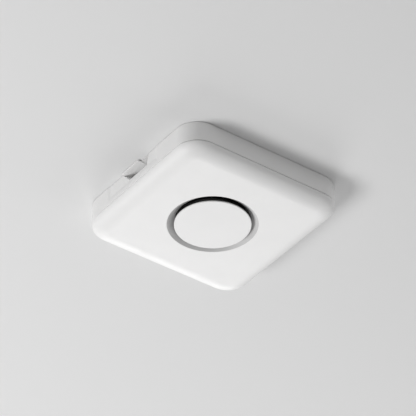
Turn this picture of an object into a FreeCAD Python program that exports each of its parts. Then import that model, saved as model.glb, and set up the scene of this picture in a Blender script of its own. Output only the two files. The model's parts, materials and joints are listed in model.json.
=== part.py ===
import FreeCAD, Part
import math
import os

# Square ceiling access point, hung face down on a steel bracket.
# Millimetres. The ceiling is the plane z = 0 and the object hangs below it.
# Origin: centre of the bracket's screw pattern, on the ceiling plane.
# The cable notch is in the -Y side.

# ---------------------------------------------------------------- driving dimensions
SIDE = 200.0                 # length of each side
HEIGHT = 36.6                # ceiling to front face
CORNER_R = 26.5              # plan corner radius
SEAM_Z = -24.3               # joint line between rear housing and front cover
SEAM_GAP = 0.6               # shadow line left open at the joint
EDGE_RUN = 19.0              # how far the elliptical edge of the cover reaches inwards
REAR_WALL = 3.0
COVER_WALL = 2.2
RIM_GAP = 0.3                # housing rim to ceiling, so that it can slide
EDGE_SOFT = 0.35             # small moulded radius on visible edges

PANEL_TOP = -6.5             # back panel, sunk to make room for the bracket
PANEL_T = 2.2

DISC_R = 41.3                # round badge disc
DISC_PROUD = 1.0             # how far the disc stands out from the face
DISH_R = 49.2                # conical dish around the disc, at the face
LIP_R = 40.5                 # inner lip of the dish
LIP_DEPTH = 6.8

STEP_X0, STEP_X1 = -52.9, 38.6       # shallow step in the -Y side
STEP_DEPTH = 0.8
STEP_BOTTOM = -19.0
STEP_RUN = 4.0               # the step's ends and bottom slope over this length
NOTCH_TOP_X0, NOTCH_TOP_X1 = -25.0, 21.5
NOTCH_LOW_X0, NOTCH_LOW_X1 = -13.0, 18.0
NOTCH_BOTTOM = -13.5

BAY_X0, BAY_X1 = -26.0, 56.0         # port bay, inside sizes
BAY_Y1 = -48.0
BAY_FLOOR = -21.5

SHEET = 1.5                  # steel sheet of the bracket
UNLOCK_TRAVEL = 10.0         # the unit slides this far towards +Y to come off its hooks
RELEASE_TRAVEL = 3.0         # the release slider is pushed in this far towards +Y
JAW_TRAVEL = 8.0             # the rail jaw opens this far towards +X
RESET_TRAVEL = 0.6           # the reset button goes in this far towards +Y

SCREW_X, SCREW_Y = 50.0, 30.0        # ceiling screw holes
JUNCTION_X = 41.65           # half of the 83.3 mm wall-box spacing
RAIL_X0, RAIL_X1 = 16.5, 41.1        # edges of the ceiling rail's flange

BOARD_TOP = -22.4            # main board, component side up
BOARD_T = 1.6
SINK_TOP = -17.0             # heat sink plate
SINK_T = 2.0

SLACK = 0.3                  # assembly clearance
FIT = 0.2                    # closer clearance
CUT = 1.0                    # how far a cutting solid runs past a face
TINY = 0.01                  # for telling edges apart

HALF = SIDE / 2.0
FACE_Z = -HEIGHT
DISC_Z = FACE_Z - DISC_PROUD
WALL_IN = HALF - REAR_WALL
PANEL_LOW = PANEL_TOP - PANEL_T
BOARD_LOW = BOARD_TOP - BOARD_T
SINK_LOW = SINK_TOP - SINK_T
LIP_Z = FACE_Z + LIP_DEPTH
UP = FreeCAD.Vector(0, 0, 1)
ORIGIN = FreeCAD.Vector(0, 0, 0)

HOUSING_SCREWS = [(sx * 80.0, sy * 78.0) for sx in (-1, 1) for sy in (-1, 1)]
SINK_SCREWS = [(sx * 69.0, y) for sx in (-1, 1) for y in (6.0, 40.0)]
BOARD_SCREWS = [(sx * 69.0, y) for sx in (-1, 1) for y in (-12.0, 66.0)]
HOOKS = [(sx * 56.0, y) for sx in (-1, 1) for y in (-22.0, 58.0)]


# ---------------------------------------------------------------- helpers
def box(x0, x1, y0, y1, z0, z1):
    """Box between two corners."""
    return Part.makeBox(x1 - x0, y1 - y0, z1 - z0, FreeCAD.Vector(x0, y0, z0))


def block(x, y, width, depth, z0, z1):
    """Box centred on a point in plan."""
    return box(x - width / 2, x + width / 2, y - depth / 2, y + depth / 2, z0, z1)


def rod(x, y, z0, z1, r):
    """Vertical cylinder."""
    return Part.makeCylinder(r, z1 - z0, FreeCAD.Vector(x, y, z0))


def rod_y(x, z, y0, y1, r):
    """Cylinder along Y."""
    return Part.makeCylinder(r, y1 - y0, FreeCAD.Vector(x, y0, z), FreeCAD.Vector(0, 1, 0))


def fuse(shapes):
    """One clean solid from touching solids."""
    first = shapes[0]
    return first.multiFuse(shapes[1:]).removeSplitter() if len(shapes) > 1 else first


def cut(shape, tools):
    """Shape less every tool."""
    return shape.cut(tools).removeSplitter()


def prism(x0, x1, y0, y1, r, z0, z1):
    """Upright block with rounded plan corners."""
    solid = box(x0, x1, y0, y1, z0, z1)
    upright = [e for e in solid.Edges if abs(e.Vertexes[0].Z - e.Vertexes[1].Z) > TINY]
    return solid.makeFillet(r, upright)


def square_prism(half, r, z0, z1):
    """Rounded square about the origin."""
    return prism(-half, half, -half, half, r, z0, z1)


def ring(r_in, r_out, z0, z1):
    """Flat ring about the vertical axis through the origin."""
    return rod(0, 0, z0, z1, r_out).cut(rod(0, 0, z0 - CUT, z1 + CUT, r_in))


def slot_x(x0, x1, y, z0, z1, r):
    """Upright round-ended slot along X between two end centres."""
    return fuse([rod(x0, y, z0, z1, r), rod(x1, y, z0, z1, r), box(x0, x1, y - r, y + r, z0, z1)])


def slot_y(x, y0, y1, z0, z1, r):
    """Upright round-ended slot along Y between two end centres."""
    return fuse([rod(x, y0, z0, z1, r), rod(x, y1, z0, z1, r), box(x - r, x + r, y0, y1, z0, z1)])


def profile_along_y(points, y0, y1):
    """Prism along Y from (x, z) points."""
    wire = Part.makePolygon([FreeCAD.Vector(x, y0, z) for x, z in points + points[:1]])
    return Part.Face(wire).extrude(FreeCAD.Vector(0, y1 - y0, 0))


def profile_along_x(points, x0, x1):
    """Prism along X from (y, z) points."""
    wire = Part.makePolygon([FreeCAD.Vector(x0, y, z) for y, z in points + points[:1]])
    return Part.Face(wire).extrude(FreeCAD.Vector(x1 - x0, 0, 0))


def revolved(points):
    """Solid of revolution about Z from (radius, z) points."""
    wire = Part.makePolygon([FreeCAD.Vector(r, 0, z) for r, z in points + points[:1]])
    return Part.Face(wire).revolve(ORIGIN, UP, 360)


def is_level(edge, z):
    """True if the edge lies in the plane at height z."""
    return edge.BoundBox.ZLength < TINY and abs(edge.BoundBox.ZMax - z) < TINY


def is_circle(edge, r):
    """True if the edge is part of a circle of radius r."""
    return isinstance(edge.Curve, Part.Circle) and abs(edge.Curve.Radius - r) < TINY


def edge_profile(x, y, r, z_top, z_low, run, soften):
    """Upright face from x outwards: a quarter ellipse below, a small arc of radius soften above."""
    z_side = z_top - soften
    start = FreeCAD.Vector(x + r, y, z_side)
    end = FreeCAD.Vector(x + r - run, y, z_low)
    curve = Part.Ellipse(start, end, FreeCAD.Vector(x + r - run, y, z_side))
    first, last = sorted([curve.parameter(start), curve.parameter(end)])
    if last - first > math.pi:
        first, last = last, first + 2 * math.pi
    top = FreeCAD.Vector(x + r - soften, y, z_top)
    inner_low = FreeCAD.Vector(x, y, z_low)
    inner_top = FreeCAD.Vector(x, y, z_top)
    edges = [curve.toShape(first, last), Part.makeLine(end, inner_low), Part.makeLine(inner_low, inner_top),
             Part.makeLine(inner_top, top)]
    if soften:
        reach = soften * (1 - math.sqrt(0.5))
        middle = FreeCAD.Vector(x + r - reach, y, z_top - reach)
        edges.append(Part.Arc(top, middle, start).toShape())
    return Part.Face(Part.Wire(Part.__sortEdges__(edges)))


def crowned_block(half, r, z_top, z_low, run, soften=0.0):
    """Rounded square block whose lower edge is a quarter ellipse, run wide; soften rounds its top edge."""
    centre = half - r
    shape = (r, z_top, z_low, run, soften)
    pieces = [box(-centre, centre, -centre, centre, z_low, z_top)]
    for quarter in range(4):
        side = edge_profile(centre, -centre, *shape).extrude(FreeCAD.Vector(0, 2 * centre, 0))
        corner = edge_profile(centre, centre, *shape).revolve(FreeCAD.Vector(centre, centre, 0), UP, 90)
        for piece in (side, corner):
            piece.rotate(ORIGIN, UP, 90 * quarter)
            pieces.append(piece)
    return fuse(pieces)


# ---------------------------------------------------------------- front of the unit
LIP_T = 2.0
LIP_TOP = LIP_Z + LIP_T
DISH_SOFT = 0.7              # radius where the dish meets the face
DISH_BACK_R = DISH_R + 3.5   # outside of the wall behind the dish
DISH_BACK_TAPER = 0.5
LIP_BACK_R = LIP_R + 3.3
POST_R = 4.2                 # screw posts of both shells
PILOT_R = 1.55
PILOT_END = 2.0              # pilot hole stops this far above the shell's inside

RIB_OUT = WALL_IN - FIT      # locating rib inside the joint line
RIB_T = 1.2
RIB_LOW, RIB_TOP = SEAM_Z - 4.0, SEAM_Z + 2.0
RIB_BAY_ROOM = 4.0           # the rib stays this far clear of the port bay, and stops below it

DISC_T = 1.2
DISC_SOFT = 0.4
SPIGOT_OUT, SPIGOT_T, SPIGOT_LONG = 29.8, 2.8, 4.0
GUIDE_R = 38.5               # black light guide that carries the disc
GUIDE_BORE = SPIGOT_OUT + FIT
GUIDE_FLANGE_R = LIP_R + 4.5
GUIDE_FLANGE_T = 1.2

LED_H = 0.6
LED_W = 2.6
LED_COUNT, LED_CIRCLE_R = 8, 34.0
LED_BOARD_LOW = LIP_TOP + GUIDE_FLANGE_T + LED_H + 0.1
LED_BOARD_T = 1.0
LED_BOARD_R = 44.0
LED_TAB_W, LED_TAB_Y1 = 12.0, 48.0
LED_PLUG_W, LED_PLUG_D = 10.0, 3.0

GASKET_IN, GASKET_W = 0.6, 1.3       # gasket is set this far behind the wall's outside


def front_cover():
    """White front shell: elliptical edges, conical dish with a round opening, screw posts."""
    top = SEAM_Z - SEAM_GAP / 2
    inside = FACE_Z + COVER_WALL
    in_wall = FACE_Z + COVER_WALL / 2
    outer = crowned_block(HALF, CORNER_R, top, FACE_Z, EDGE_RUN, EDGE_SOFT)
    inner = crowned_block(HALF - COVER_WALL, CORNER_R - COVER_WALL, top, inside, EDGE_RUN)
    dish_wall = revolved([(0, in_wall), (DISH_BACK_R, in_wall), (DISH_BACK_R - DISH_BACK_TAPER, inside),
                          (LIP_BACK_R, LIP_TOP), (0, LIP_TOP)])
    posts = [rod(x, y, in_wall, SEAM_Z - SLACK, POST_R) for x, y in HOUSING_SCREWS]
    solid = fuse([outer.cut(inner), dish_wall] + posts + [locating_rib()])
    overcut = (DISH_R - LIP_R) * CUT / LIP_DEPTH
    dish = revolved([(0, FACE_Z - CUT), (DISH_R + overcut, FACE_Z - CUT), (LIP_R, LIP_Z), (0, LIP_Z)])
    pilots = [rod(x, y, inside + PILOT_END, SEAM_Z + CUT, PILOT_R) for x, y in HOUSING_SCREWS]
    cover = cut(solid, [dish, rod(0, 0, LIP_Z - CUT, LIP_TOP + CUT, LIP_R)] + pilots)
    rim = [e for e in cover.Edges if is_level(e, FACE_Z) and is_circle(e, DISH_R)]
    return cover.makeFillet(DISH_SOFT, rim)


def locating_rib():
    """Thin rib inside the joint line that keeps the two shells in line."""
    corner_out = CORNER_R - REAR_WALL - FIT
    rib = square_prism(RIB_OUT, corner_out, RIB_LOW, RIB_TOP)
    hollow = square_prism(RIB_OUT - RIB_T, corner_out - RIB_T, RIB_LOW - CUT, RIB_TOP + CUT)
    bay_gap = box(BAY_X0 - RIB_BAY_ROOM, BAY_X1 + RIB_BAY_ROOM, -HALF, BAY_Y1, SEAM_Z - SLACK, RIB_TOP + CUT)
    in_cover = crowned_block(HALF - COVER_WALL / 2, CORNER_R - COVER_WALL / 2, SEAM_Z, FACE_Z, EDGE_RUN)
    above = box(-HALF, HALF, -HALF, HALF, SEAM_Z, RIB_TOP)
    return rib.cut([hollow, bay_gap]).common(fuse([in_cover, above]))


def badge_disc():
    """Plain round disc, a little proud of the face, with a spigot that enters the light guide."""
    top = DISC_Z + DISC_T
    disc = rod(0, 0, DISC_Z, top, DISC_R)
    disc = disc.makeFillet(DISC_SOFT, [e for e in disc.Edges if e.Closed and is_level(e, DISC_Z)])
    return fuse([disc, ring(SPIGOT_OUT - SPIGOT_T, SPIGOT_OUT, top, top + SPIGOT_LONG)])


def light_guide():
    """Black ring behind the disc: a pedestal with a flange seated on the dish's lip."""
    flange_top = LIP_TOP + GUIDE_FLANGE_T
    pedestal = ring(GUIDE_BORE, GUIDE_R, DISC_Z + DISC_T, flange_top)
    return fuse([pedestal, ring(GUIDE_BORE, GUIDE_FLANGE_R, LIP_TOP, flange_top)])


def led_board():
    """Ring board above the light guide."""
    top = LED_BOARD_LOW + LED_BOARD_T
    board = ring(GUIDE_BORE, LED_BOARD_R, LED_BOARD_LOW, top)
    return fuse([board, box(-LED_TAB_W / 2, LED_TAB_W / 2, LIP_R, LED_TAB_Y1, LED_BOARD_LOW, top)])


def status_leds():
    """Small lamps on the lower side of the ring board."""
    lamps = []
    for i in range(LED_COUNT):
        lamp = block(LED_CIRCLE_R, 0, LED_W, LED_W, LED_BOARD_LOW - LED_H, LED_BOARD_LOW)
        lamp.rotate(ORIGIN, UP, 360.0 * i / LED_COUNT)
        lamps.append(lamp)
    return Part.makeCompound(lamps)


def led_connector():
    """Board-to-board connector between the ring board and the main board."""
    y = LED_TAB_Y1 - LED_PLUG_D / 2 - CUT / 2
    return block(0, y, LED_PLUG_W, LED_PLUG_D, LED_BOARD_LOW + LED_BOARD_T, BOARD_LOW)


def seam_gasket():
    """Soft grey seal at the bottom of the joint's shadow line."""
    low, high = SEAM_Z - SEAM_GAP / 2, SEAM_Z + SEAM_GAP / 2
    outer = square_prism(HALF - GASKET_IN, CORNER_R - GASKET_IN, low, high)
    reach = GASKET_IN + GASKET_W
    return outer.cut(square_prism(HALF - reach, CORNER_R - reach, low - CUT, high + CUT))


# ---------------------------------------------------------------- rear housing
HOOK_W = 10.0
HOOK_FOOT = 5.0
HOOK_FOOT_TOP = PANEL_LOW - SLACK
HOOK_SIDE_ROOM = 0.7
HOOK_END_ROOM = 0.5
WELL_LOW = HOOK_FOOT_TOP - SHEET - 0.8
WELL_WALL = 1.2
BAY_WALL = 2.0

SCREW_SHANK_HOLE_R = 1.7
SCREW_SEAT_R = 3.2
SCREW_SEAT_DEPTH = 0.6
SINK_POST_R, SINK_PILOT_R = 3.4, 1.3

CATCH_X, CATCH_W = -50.0, 8.0        # spring catch: centre line and width
TOOTH_Y0, TOOTH_Y1 = -68.0, -64.0    # its tooth
POCKET_ROOM = 1.0                    # pocket behind the tooth's +Y side
POCKET_WALL = 2.0
POCKET_BLOCK_T = 1.6

JACK_W, JACK_H, JACK_L = 16.0, 13.4, 21.0
JACK_FACE = BAY_Y1 + FIT
JACK_XS = {"uplink": -6.0, "second": 14.0}
POWER_X, POWER_W, POWER_H, POWER_L = 34.5, 9.0, 11.0, 14.0
RESET_X, RESET_Z, RESET_R = 47.0, -17.0, 1.5
RESET_FIT = 0.08

VENT_COUNT, VENT_PITCH, VENT_W, VENT_LONG = 15, 6.0, 2.4, 10.0
VENT_REAR_Y = 86.5
VENT_SIDE_X, VENT_SIDE_Y, VENT_SIDE_COUNT = 84.0, 30.0, 12

SECURITY_Y, SECURITY_Z = 52.0, -14.0
SECURITY_LONG, SECURITY_HIGH = 7.2, 3.2
SECURITY_PLATE_LONG, SECURITY_PLATE_HIGH = 18.0, 9.0

LABEL_X0, LABEL_X1, LABEL_Y0, LABEL_Y1 = -38.0, 8.0, 4.0, 34.0
LABEL_R, LABEL_T = 2.0, 0.15

HOUSING_HEAD_R, HOUSING_HEAD_T = 2.8, 1.8
HOUSING_SHANK_R = 1.5
HOUSING_TIP_Z = FACE_Z + 5.0


def hook_space(x, y, z_low, z_high):
    """Space that one bracket hook moves in, from locked to unlocked."""
    half_w = HOOK_W / 2 + HOOK_SIDE_ROOM
    y0, y1 = y - UNLOCK_TRAVEL - HOOK_END_ROOM, y + SHEET + HOOK_END_ROOM
    return box(x - half_w, x + half_w, y0, y1, z_low, z_high)


def hook_well(x, y):
    """Closed well behind a hook's slot, and the cavity inside it."""
    half_w = HOOK_W / 2 + HOOK_SIDE_ROOM
    y0, y1 = y - UNLOCK_TRAVEL - HOOK_END_ROOM, y + SHEET + HOOK_FOOT + HOOK_END_ROOM + SLACK
    cavity = box(x - half_w, x + half_w, y0, y1, WELL_LOW, PANEL_LOW)
    walls = box(x - half_w - WELL_WALL, x + half_w + WELL_WALL, y0 - WELL_WALL, y1 + WELL_WALL,
                WELL_LOW - WELL_WALL, PANEL_LOW)
    return walls, cavity


def notch_tool():
    """Cable notch: a slanted-sided opening from the ceiling edge down."""
    lean_left = (NOTCH_LOW_X0 - NOTCH_TOP_X0) / NOTCH_BOTTOM
    lean_right = (NOTCH_LOW_X1 - NOTCH_TOP_X1) / NOTCH_BOTTOM
    points = [(NOTCH_TOP_X0 + lean_left * CUT, CUT), (NOTCH_LOW_X0, NOTCH_BOTTOM),
              (NOTCH_LOW_X1, NOTCH_BOTTOM), (NOTCH_TOP_X1 + lean_right * CUT, CUT)]
    return profile_along_y(points, -HALF - CUT, -WALL_IN + CUT)


def catch_pocket():
    """Thicker patch of panel under the catch's tooth, and the blind pocket that the tooth drops into."""
    half_w = CATCH_W / 2 + SLACK
    y0, y1 = TOOTH_Y0 - SLACK, TOOTH_Y1 + POCKET_ROOM
    patch = box(CATCH_X - half_w - POCKET_WALL, CATCH_X + half_w + POCKET_WALL, y0 - POCKET_WALL,
                y1 + POCKET_WALL, PANEL_LOW - POCKET_BLOCK_T, PANEL_LOW)
    return patch, box(CATCH_X - half_w, CATCH_X + half_w, y0, y1, PANEL_LOW, PANEL_TOP + CUT)


def step_tool():
    """Shallow step round the notch, with sloping ends and bottom."""
    y0, y1 = -HALF, -HALF + STEP_DEPTH
    outer = [(STEP_X0, CUT), (STEP_X0, STEP_BOTTOM), (STEP_X1, STEP_BOTTOM), (STEP_X1, CUT)]
    inner = [(STEP_X0 + STEP_RUN, CUT), (STEP_X0 + STEP_RUN, STEP_BOTTOM + STEP_RUN),
             (STEP_X1 - STEP_RUN, STEP_BOTTOM + STEP_RUN), (STEP_X1 - STEP_RUN, CUT)]
    wires = []
    for y, outline in ((y0, outer), (y1, inner)):
        wires.append(Part.makePolygon([FreeCAD.Vector(x, y, z) for x, z in outline + outline[:1]]))
    return fuse([Part.makeLoft(wires, True, True), profile_along_y(outer, y0 - CUT, y0)])


def port_windows():
    """Openings in the bay's inner wall for the sockets and the reset button."""
    y0, y1 = BAY_Y1 - CUT, BAY_Y1 + BAY_WALL + CUT
    sockets = [(x, JACK_W, JACK_H) for x in JACK_XS.values()] + [(POWER_X, POWER_W, POWER_H)]
    tools = [rod_y(RESET_X, RESET_Z, y0, y1, RESET_R + RESET_FIT)]
    for x, width, height in sockets:
        half_w = width / 2 + FIT
        tools.append(box(x - half_w, x + half_w, y0, y1, BAY_FLOOR, BOARD_TOP + height + FIT))
        tools.append(box(x - half_w, x + half_w, BAY_Y1, y1, BOARD_TOP - SLACK, BAY_FLOOR))
    return tools


def vent_slots():
    """Rows of vent slots in the back panel, beyond three edges of the bracket."""
    low, high = PANEL_LOW - CUT, PANEL_TOP + CUT
    tools = []
    for i in range(VENT_COUNT):
        along = (i - (VENT_COUNT - 1) / 2) * VENT_PITCH
        tools.append(block(along, VENT_REAR_Y, VENT_W, VENT_LONG, low, high))
    for i in range(VENT_SIDE_COUNT):
        along = VENT_SIDE_Y + (i - (VENT_SIDE_COUNT - 1) / 2) * VENT_PITCH
        for side in (-VENT_SIDE_X, VENT_SIDE_X):
            tools.append(block(side, along, VENT_LONG, VENT_W, low, high))
    return tools


def security_slot_tool():
    """Slot for a lock in the -X side."""
    half_long, half_high = SECURITY_LONG / 2, SECURITY_HIGH / 2
    return box(-HALF - CUT, -WALL_IN + SHEET + CUT, SECURITY_Y - half_long, SECURITY_Y + half_long,
               SECURITY_Z - half_high, SECURITY_Z + half_high)


def rear_housing():
    """White rear shell: side walls, sunk back panel, port bay, cable notch, hook wells."""
    low = SEAM_Z + SEAM_GAP / 2
    outer = square_prism(HALF, CORNER_R, low, -RIM_GAP)
    outer = outer.makeFillet(EDGE_SOFT, [e for e in outer.Edges if e.BoundBox.ZLength < TINY])
    under = square_prism(WALL_IN, CORNER_R - REAR_WALL, low - CUT, PANEL_LOW)
    recess = square_prism(WALL_IN, CORNER_R - REAR_WALL, PANEL_TOP, CUT)
    patch, pocket = catch_pocket()
    solids = [outer.cut([under, recess]), patch]
    solids.append(box(BAY_X0 - BAY_WALL, BAY_X1 + BAY_WALL, -WALL_IN - CUT, BAY_Y1 + BAY_WALL,
                      BAY_FLOOR - BAY_WALL, PANEL_LOW + CUT / 2))
    tools = []
    for x, y in HOOKS:
        walls, cavity = hook_well(x, y)
        solids.append(walls)
        tools += [cavity, hook_space(x, y, WELL_LOW, PANEL_TOP + CUT)]
    for x, y in HOUSING_SCREWS:
        solids.append(rod(x, y, SEAM_Z + SLACK, PANEL_LOW, POST_R))
        tools.append(rod(x, y, low - CUT, PANEL_TOP + CUT, SCREW_SHANK_HOLE_R))
        tools.append(rod(x, y, PANEL_TOP - SCREW_SEAT_DEPTH, CUT, SCREW_SEAT_R))
    for x, y in SINK_SCREWS:
        solids.append(rod(x, y, SINK_TOP, PANEL_LOW, SINK_POST_R))
        tools.append(rod(x, y, SINK_TOP - CUT, PANEL_LOW - CUT, SINK_PILOT_R))
    tools += [box(BAY_X0, BAY_X1, -WALL_IN, BAY_Y1, BAY_FLOOR, CUT), notch_tool(), step_tool(), pocket]
    tools += port_windows() + vent_slots() + [security_slot_tool()]
    housing = cut(fuse(solids), tools)
    return housing.makeFillet(EDGE_SOFT, [e for e in housing.Edges if on_notch_outline(e)])


def on_notch_outline(edge):
    """True for the notch's bottom and slanted edges in the stepped face."""
    y = -HALF + STEP_DEPTH
    bounds = edge.BoundBox
    in_face = abs(bounds.YMin - y) < TINY and abs(bounds.YMax - y) < TINY
    in_notch = bounds.XMin > NOTCH_TOP_X0 - CUT and bounds.XMax < NOTCH_TOP_X1 + CUT
    long_enough = bounds.DiagonalLength > -NOTCH_BOTTOM / 2
    return in_face and in_notch and bounds.ZMin > NOTCH_BOTTOM - CUT and long_enough


def security_plate():
    """Steel plate behind the lock slot."""
    plate = box(-WALL_IN, -WALL_IN + SHEET, SECURITY_Y - SECURITY_PLATE_LONG / 2,
                SECURITY_Y + SECURITY_PLATE_LONG / 2, SECURITY_Z - SECURITY_PLATE_HIGH / 2,
                SECURITY_Z + SECURITY_PLATE_HIGH / 2)
    return plate.cut(security_slot_tool())


def rating_label():
    """Blank label on the back panel."""
    return prism(LABEL_X0, LABEL_X1, LABEL_Y0, LABEL_Y1, LABEL_R, PANEL_TOP, PANEL_TOP + LABEL_T)


def screw_group(places, seat_z, head_r, head_t, shank_r, shank_end):
    """Identical screws at several places: head from seat_z, shank from the seat to shank_end."""
    screws = []
    for x, y in places:
        head_end = seat_z + head_t if shank_end < seat_z else seat_z - head_t
        head = rod(x, y, min(seat_z, head_end), max(seat_z, head_end), head_r)
        shank = rod(x, y, min(seat_z, shank_end), max(seat_z, shank_end), shank_r)
        screws.append(fuse([head, shank]))
    return Part.makeCompound(screws)


def housing_screws():
    """Four long screws that hold the two shells together."""
    seat = PANEL_TOP - SCREW_SEAT_DEPTH
    return screw_group(HOUSING_SCREWS, seat, HOUSING_HEAD_R, HOUSING_HEAD_T, HOUSING_SHANK_R, HOUSING_TIP_Z)


# ---------------------------------------------------------------- inside the unit
SINK_X, SINK_Y0, SINK_Y1, SINK_R = 74.0, -21.0, 73.0, 4.0
FIN_TOP = -13.2
FIN_T, FIN_PITCH, FIN_HALF_COUNT, FIN_END = 1.2, 9.0, 6, 5.0
INNER_HEAD_R, INNER_HEAD_T, INNER_SHANK_R = 2.4, 1.4, 1.25
INNER_HOLE_R = 1.4
SINK_SCREW_LONG, BOARD_SCREW_LONG = 6.0, 3.0

BOARD_X, BOARD_Y0, BOARD_Y1, BOARD_R = 74.0, -45.5, 74.0, 3.0
CAN_TOP = -20.0
CAN_SHEET = 0.3
CAN_R = 1.0
CANS = {"processor": (0.0, 44.0, 38.0, 40.0), "radio_2g": (-44.0, 24.0, 34.0, 48.0),
        "radio_5g": (44.0, 24.0, 34.0, 48.0)}
CHIPS = [(0.0, 50.0, 19.0), (-9.0, 31.0, 10.0), (9.0, 31.0, 10.0), (-44.0, 24.0, 14.0), (44.0, 24.0, 14.0)]
CHIP_H = 1.4

MOUTH_W, MOUTH_DEEP, MOUTH_LOW, MOUTH_TOP = 11.8, 13.0, 4.4, 11.6
KEY_W, KEY_DEEP, KEY_LOW = 6.4, 9.0, 1.7
CONTACT_COUNT, CONTACT_PITCH, CONTACT_W, CONTACT_T = 8, 1.02, 0.4, 0.5
CONTACT_START, CONTACT_DROP = 4.0, 0.4

POWER_Z = BOARD_TOP + POWER_H / 2 + 0.5
POWER_BORE_R, POWER_BORE_DEEP, POWER_PIN_R = 3.2, 9.5, 1.05

SWITCH_Y0 = BAY_Y1 + BAY_WALL + CUT
SWITCH_W, SWITCH_D = 6.0, 4.5
RESET_TIP_Y = BAY_Y1 - 0.9
RESET_BASE_Y = SWITCH_Y0 + 1.8
RESET_TIP_SOFT = 0.3

TRANSFORMER_X, TRANSFORMER_Y, TRANSFORMER_W, TRANSFORMER_TOP = -51.0, -36.0, 14.0, -13.4
TRANSFORMER_BASE_W, TRANSFORMER_BASE_T = 16.0, 1.0
CAPACITORS = [(-36.0, -35.0), (-26.0, -35.0), (62.0, -38.0)]
CAPACITOR_R, CAPACITOR_H = 4.0, 9.0

ANTENNAS = {
    "antenna_2g_left": (-60.0, -20.0, 30.0, 90),
    "antenna_2g_right": (60.0, -20.0, 30.0, 90),
    "antenna_5g_rear_left": (-46.0, 64.0, 20.0, 0),
    "antenna_5g_rear_right": (46.0, 64.0, 20.0, 0),
    "antenna_5g_front_left": (-54.0, -40.0, 20.0, 0),
    "antenna_5g_front_right": (64.0, 34.0, 20.0, 90),
}
ANTENNA_DROP, ANTENNA_W, ANTENNA_T = 6.0, 7.0, 0.4
ANTENNA_FEED_X0, ANTENNA_FEED_X1 = 5.0, 7.0


def heat_sink():
    """Cast aluminium plate with upright fins and four stand-offs for the main board."""
    pieces = [prism(-SINK_X, SINK_X, SINK_Y0, SINK_Y1, SINK_R, SINK_LOW, SINK_TOP)]
    fin_y0, fin_y1 = SINK_Y0 + FIN_END, SINK_Y1 - FIN_END
    for i in range(-FIN_HALF_COUNT, FIN_HALF_COUNT + 1):
        x = i * FIN_PITCH
        pieces.append(box(x - FIN_T / 2, x + FIN_T / 2, fin_y0, fin_y1, SINK_TOP, FIN_TOP))
    pieces += [rod(x, y, BOARD_TOP, SINK_TOP, SINK_POST_R) for x, y in BOARD_SCREWS]
    tools = [rod(x, y, BOARD_TOP - CUT, SINK_TOP - CUT, SINK_PILOT_R) for x, y in BOARD_SCREWS]
    tools += [rod(x, y, SINK_LOW - CUT, SINK_TOP + CUT, INNER_HOLE_R) for x, y in SINK_SCREWS]
    return cut(fuse(pieces), tools)


def sink_screws():
    """Four screws that hold the heat sink to the rear housing."""
    end = SINK_TOP + SINK_SCREW_LONG
    return screw_group(SINK_SCREWS, SINK_LOW, INNER_HEAD_R, INNER_HEAD_T, INNER_SHANK_R, end)


def board_screws():
    """Four screws that hold the main board to the heat sink."""
    end = BOARD_TOP + BOARD_SCREW_LONG
    return screw_group(BOARD_SCREWS, BOARD_LOW, INNER_HEAD_R, INNER_HEAD_T, INNER_SHANK_R, end)


def main_board():
    """Main circuit board."""
    board = prism(-BOARD_X, BOARD_X, BOARD_Y0, BOARD_Y1, BOARD_R, BOARD_LOW, BOARD_TOP)
    return cut(board, [rod(x, y, BOARD_LOW - CUT, BOARD_TOP + CUT, INNER_HOLE_R) for x, y in BOARD_SCREWS])


def shield_can(x, y, width, depth):
    """Folded steel can over one circuit."""
    outer = prism(x - width / 2, x + width / 2, y - depth / 2, y + depth / 2, CAN_R, BOARD_TOP, CAN_TOP)
    walls = 2 * CAN_SHEET
    return outer.cut(block(x, y, width - walls, depth - walls, BOARD_TOP - CUT, CAN_TOP - CAN_SHEET))


def circuit_chips():
    """Packages under the cans: processor, two memories and two radios."""
    return Part.makeCompound([block(x, y, side, side, BOARD_TOP, BOARD_TOP + CHIP_H) for x, y, side in CHIPS])


def thermal_pads():
    """Soft pads between each can and the heat sink, two thirds of the can's size."""
    pads = []
    for x, y, width, depth in CANS.values():
        pads.append(block(x, y, width * 2 / 3, depth * 2 / 3, CAN_TOP, SINK_LOW))
    return Part.makeCompound(pads)


def network_jack(x):
    """Eight-way modular socket, mouth towards -Y, with its latch keyway below."""
    y0 = JACK_FACE
    body = box(x - JACK_W / 2, x + JACK_W / 2, y0, y0 + JACK_L, BOARD_TOP, BOARD_TOP + JACK_H)
    mouth = box(x - MOUTH_W / 2, x + MOUTH_W / 2, y0 - CUT, y0 + MOUTH_DEEP,
                BOARD_TOP + MOUTH_LOW, BOARD_TOP + MOUTH_TOP)
    key = box(x - KEY_W / 2, x + KEY_W / 2, y0 - CUT, y0 + KEY_DEEP,
              BOARD_TOP + KEY_LOW, BOARD_TOP + MOUTH_LOW)
    return cut(body, [mouth, key])


def jack_contacts(x):
    """Eight sprung contact wires under the roof of a socket's mouth."""
    top = BOARD_TOP + MOUTH_TOP - CONTACT_DROP
    wires = []
    for i in range(CONTACT_COUNT):
        wire_x = x + (i - (CONTACT_COUNT - 1) / 2) * CONTACT_PITCH
        wires.append(box(wire_x - CONTACT_W / 2, wire_x + CONTACT_W / 2, JACK_FACE + CONTACT_START,
                         JACK_FACE + MOUTH_DEEP, top - CONTACT_T, top))
    return Part.makeCompound(wires)


def power_jack():
    """Barrel power socket: bore towards -Y."""
    body = box(POWER_X - POWER_W / 2, POWER_X + POWER_W / 2, JACK_FACE, JACK_FACE + POWER_L,
               BOARD_TOP, BOARD_TOP + POWER_H)
    return cut(body, [rod_y(POWER_X, POWER_Z, JACK_FACE - CUT, JACK_FACE + POWER_BORE_DEEP, POWER_BORE_R)])


def power_pin():
    """Centre pin of the power socket."""
    return rod_y(POWER_X, POWER_Z, JACK_FACE + CUT, JACK_FACE + POWER_BORE_DEEP, POWER_PIN_R)


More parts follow.
